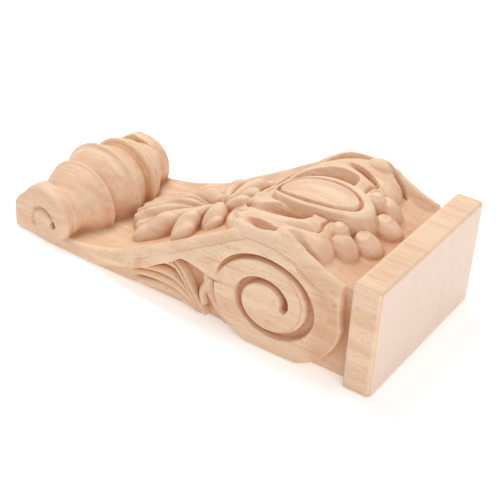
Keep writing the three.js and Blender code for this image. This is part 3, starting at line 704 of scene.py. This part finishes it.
class Nodes:
    def __init__(self, tree):
        self.tree = tree

    def add(self, kind, **inputs):
        node = self.tree.nodes.new(kind)
        for key, value in inputs.items():
            if key in ("operation", "noise_dimensions", "attribute_name"):
                setattr(node, key, value)
                continue
            name = key.replace("_", " ")
            numbered = name[0] == "i" and name[1:].isdigit()
            socket = node.inputs[int(name[1:])] if numbered else node.inputs[name]
            if isinstance(value, bpy.types.NodeSocket):
                self.tree.links.new(value, socket)
            else:
                socket.default_value = value
        return node

    def math(self, operation, a, b=0.0, c=0.0):
        return self.add("ShaderNodeMath", operation=operation, i0=a, i1=b, i2=c).outputs[0]

    def mix(self, factor, a, b, blend="MIX"):
        node = self.tree.nodes.new("ShaderNodeMix")
        node.data_type = "RGBA"
        node.blend_type = blend
        for socket, value in ((node.inputs[0], factor), (node.inputs[6], a), (node.inputs[7], b)):
            if isinstance(value, bpy.types.NodeSocket):
                self.tree.links.new(value, socket)
            else:
                socket.default_value = value
        return node.outputs[2]

    def range(self, value, low, high, outLow=0.0, outHigh=1.0):
        node = self.add("ShaderNodeMapRange", Value=value, From_Min=low, From_Max=high, To_Min=outLow,
                        To_Max=outHigh)
        node.interpolation_type = "SMOOTHSTEP"
        return node.outputs[0]

    def stretched(self, coordinates, scale):
        node = self.add("ShaderNodeVectorMath", operation="MULTIPLY", i0=coordinates, i1=scale)
        return node.outputs[0]


# light and deep are the wood's own band and fibre colours, and deep is also the colour of the dark glued
# seams; the same two colours serve the painted light on proud parts and the painted shade in hollows
rubberwood = {
    "light": (233, 203, 175), "mid": (220, 182, 149), "deep": (190, 124, 80), "endGrain": (232, 212, 199),
    "pore": (182, 132, 96), "stripWidth": 29.0, "seamAt": 15.2, "roughness": 0.62,
}


def grainGroup():
    # wood grain along Z: fibres, growth bands and pores, from a place in millimetres
    tree = bpy.data.node_groups.new("woodGrain", "ShaderNodeTree")
    tree.interface.new_socket("Place", in_out="INPUT", socket_type="NodeSocketVector")
    tree.interface.new_socket("Pore Size", in_out="INPUT", socket_type="NodeSocketFloat")
    for name in ("Bands", "Fibres", "Pores"):
        tree.interface.new_socket(name, in_out="OUTPUT", socket_type="NodeSocketFloat")
    n = Nodes(tree)
    start = tree.nodes.new("NodeGroupInput")
    end = tree.nodes.new("NodeGroupOutput")
    place = start.outputs["Place"]
    bands = n.add("ShaderNodeTexNoise", Vector=n.stretched(place, (0.16, 0.16, 0.012)), Scale=1.0,
                  Detail=3.0, Roughness=0.6, Distortion=0.6)
    fibres = n.add("ShaderNodeTexNoise", Vector=n.stretched(place, (2.4, 2.4, 0.09)), Scale=1.0, Detail=4.0,
                   Roughness=0.65)
    sized = n.add("ShaderNodeVectorMath", operation="SCALE", i0=place, Scale=start.outputs["Pore Size"])
    pores = n.add("ShaderNodeTexNoise", Vector=n.stretched(sized.outputs[0], (2.6, 2.6, 0.34)), Scale=1.0,
                  Detail=2.0, Roughness=0.5)
    tree.links.new(bands.outputs["Fac"], end.inputs["Bands"])
    tree.links.new(fibres.outputs["Fac"], end.inputs["Fibres"])
    tree.links.new(n.range(pores.outputs["Fac"], 0.62, 0.70), end.inputs["Pores"])
    return tree


def makeRubberwood():
    material = bpy.data.materials.new("rubberwood")
    material.use_nodes = True
    tree = material.node_tree
    n = Nodes(tree)
    shader = tree.nodes["Principled BSDF"]
    shader.inputs["Specular IOR Level"].default_value = 0.3
    coordinates = tree.nodes.new("ShaderNodeTexCoord")
    inMm = n.stretched(coordinates.outputs["Object"], (1000, 1000, 1000))
    xyz = n.add("ShaderNodeSeparateXYZ", Vector=inMm)
    normal = n.add("ShaderNodeSeparateXYZ", Vector=coordinates.outputs["Normal"])
    # glued strips side by side, each with its own tone and its own piece of grain
    fromSeam = n.math("SUBTRACT", xyz.outputs["X"], rubberwood["seamAt"])
    strip = n.math("DIVIDE", fromSeam, rubberwood["stripWidth"])
    index = n.math("FLOOR", strip)
    tone = n.add("ShaderNodeTexWhiteNoise", noise_dimensions="1D", W=index)
    shift = n.add("ShaderNodeVectorMath", operation="SCALE", i0=tone.outputs["Color"], Scale=400.0)
    moved = n.add("ShaderNodeVectorMath", operation="ADD", i0=inMm, i1=shift.outputs[0])
    grain = tree.nodes.new("ShaderNodeGroup")
    grain.node_tree = grainGroup()
    tree.links.new(moved.outputs[0], grain.inputs["Place"])
    grain.inputs["Pore Size"].default_value = 1.0
    seam = n.range(n.math("ABSOLUTE", n.math("SUBTRACT", n.math("FRACT", strip), 0.5)), 0.494, 0.4985)
    endOn = n.math("MULTIPLY", n.range(n.math("ABSOLUTE", normal.outputs["Z"]), 0.86, 0.97),
                   n.range(n.math("ABSOLUTE", xyz.outputs["Z"]), 98.6, 99.6))
    sideOn = n.range(n.math("ABSOLUTE", normal.outputs["X"]), 0.55, 0.9)
    # painted shade: where much wood lies round a place (hollows, creases, the neck's floor by the reel) the
    # colour is mixed towards dark brown, standing in for shade
    hollow = n.add("ShaderNodeAttribute", attribute_name="hollow").outputs["Fac"]
    sunk = n.add("ShaderNodeAttribute", attribute_name="sunk").outputs["Fac"]
    wide = n.math("MULTIPLY", n.range(sunk, 0.52, 0.74), 0.85)
    deep = n.math("MAXIMUM", n.range(hollow, 0.53, 0.76), wide)
    # painted light: where little wood lies round a place (ridges, crests, proud edges) the colour is mixed
    # towards the light tone, standing in for light
    paintedLightOnProud = n.range(hollow, 0.46, 0.28)
    tones = n.mix(n.range(grain.outputs["Bands"], 0.35, 0.68), linear(*rubberwood["light"]),
                  linear(*rubberwood["mid"]))
    tones = n.mix(n.math("MULTIPLY", n.range(tone.outputs["Value"], 0.0, 1.0), 0.3), tones,
                  linear(*rubberwood["mid"]))
    tones = n.mix(n.math("MULTIPLY", n.range(grain.outputs["Fibres"], 0.4, 0.75), 0.22), tones,
                  linear(*rubberwood["deep"]))
    tones = n.mix(n.math("MULTIPLY", endOn, 0.75), tones, linear(*rubberwood["endGrain"]))
    poreMask = n.math("MULTIPLY", grain.outputs["Pores"],
                      n.math("MULTIPLY", n.math("ADD", n.math("MULTIPLY", sideOn, 0.6), 0.3),
                             n.math("SUBTRACT", 1.0, n.math("MULTIPLY", endOn, 0.75))))
    tones = n.mix(n.math("MULTIPLY", poreMask, 0.75), tones, linear(*rubberwood["pore"]))
    # painted shade in the hollows and creases
    tones = n.mix(n.math("MULTIPLY", deep, 0.7), tones, linear(*rubberwood["deep"]))
    # painted light on the proud parts
    tones = n.mix(n.math("MULTIPLY", paintedLightOnProud, 0.4), tones, linear(*rubberwood["light"]))
    tones = n.mix(n.math("MULTIPLY", seam, 0.35), tones, linear(*rubberwood["deep"]))
    tree.links.new(tones, shader.inputs["Base Color"])
    rough = n.range(grain.outputs["Fibres"], 0.3, 0.8, rubberwood["roughness"] - 0.06,
                    rubberwood["roughness"] + 0.1)
    tree.links.new(rough, shader.inputs["Roughness"])
    worked = n.add("ShaderNodeTexNoise", Vector=n.stretched(inMm, (0.9, 0.9, 0.35)), Scale=1.0, Detail=3.0)
    heights = n.math("ADD", n.math("MULTIPLY", grain.outputs["Fibres"], 0.05),
                     n.math("MULTIPLY", poreMask, -0.12))
    heights = n.math("ADD", heights, n.math("MULTIPLY", worked.outputs["Fac"], 0.12))
    bump = n.add("ShaderNodeBump", Strength=0.5, Distance=0.001, Height=heights)
    tree.links.new(bump.outputs[0], shader.inputs["Normal"])
    return material


def makeFloor():
    material = bpy.data.materials.new("paleFloor")
    material.use_nodes = True
    tree = material.node_tree
    shader = tree.nodes["Principled BSDF"]
    shader.inputs["Base Color"].default_value = (0.98, 0.98, 0.98, 1)
    shader.inputs["Roughness"].default_value = 0.9
    shader.inputs["Specular IOR Level"].default_value = 0.0
    shader.inputs["Emission Color"].default_value = (1, 1, 1, 1)
    shader.inputs["Emission Strength"].default_value = 0.26
    # the table top behind the flat back is only seen from the front
    away = tree.nodes.new("ShaderNodeNewGeometry").outputs["Backfacing"]
    clear = tree.nodes.new("ShaderNodeBsdfTransparent")
    mix = tree.nodes.new("ShaderNodeMixShader")
    tree.links.new(away, mix.inputs[0])
    tree.links.new(shader.outputs[0], mix.inputs[1])
    tree.links.new(clear.outputs[0], mix.inputs[2])
    tree.links.new(mix.outputs[0], tree.nodes["Material Output"].inputs["Surface"])
    return material


# Studio

studio = {
    "lens": 79.71, "eye": (0.35623, -0.28154, 0.24253),
    "right": (-0.569376, -0.047377, 0.820711), "below": (0.418417, 0.842649, 0.338925),
    "ahead": (-0.707629, 0.536375, -0.459960),
    "floorGap": 0.0006, "floorHalf": 3.0, "world": 0.53,
    "lights": [
        {"name": "overhead", "at": (-0.25, -0.85, -0.4), "size": 0.5, "power": 6.4},
        {"name": "window", "at": (0.5, -0.6, 0.8), "size": 0.7, "power": 3.6},
    ],
}


def makeCamera():
    camera = bpy.data.cameras.new("camera")
    camera.lens = studio["lens"]
    camera.sensor_width = 36
    camera.clip_start = 0.01
    camera.clip_end = 20
    holder = bpy.data.objects.new("camera", camera)
    right, below, ahead = (Vector(studio[k]) for k in ("right", "below", "ahead"))
    turn = Matrix((right, -below, -ahead)).transposed().to_4x4()
    holder.matrix_world = Matrix.Translation(studio["eye"]) @ turn
    bpy.context.scene.collection.objects.link(holder)
    bpy.context.scene.camera = holder


def makeLights():
    world = bpy.data.worlds.new("studio")
    bpy.context.scene.world = world
    world.use_nodes = True
    background = world.node_tree.nodes["Background"]
    background.inputs["Color"].default_value = (1, 1, 1, 1)
    background.inputs["Strength"].default_value = studio["world"]
    middle = Vector((0, -0.02, 0))
    for one in studio["lights"]:
        data = bpy.data.lights.new(one["name"], "AREA")
        data.size = one["size"]
        data.energy = one["power"]
        lamp = bpy.data.objects.new(one["name"], data)
        lamp.location = one["at"]
        lamp.rotation_mode = "QUATERNION"
        lamp.rotation_quaternion = (middle - Vector(one["at"])).to_track_quat("-Z", "Y")
        bpy.context.scene.collection.objects.link(lamp)
    bpy.context.scene.view_settings.view_transform = "Standard"


def makeStage():
    half = studio["floorHalf"]
    y = studio["floorGap"]
    points = np.array([[-half, y, -half], [half, y, -half], [half, y, half], [-half, y, half]])
    floor = bpy.data.objects.new("floor", meshOf("floor", points, np.array([[0, 1, 2, 3]])))
    floor.data.materials.append(makeFloor())
    bpy.context.scene.collection.objects.link(floor)


makeCamera()
corbel = buildCorbel()
corbel.data.materials.clear()
corbel.data.materials.append(makeRubberwood())
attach(corbel, "root")
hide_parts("corbel")
makeLights()
makeStage()
print("scene: ready")
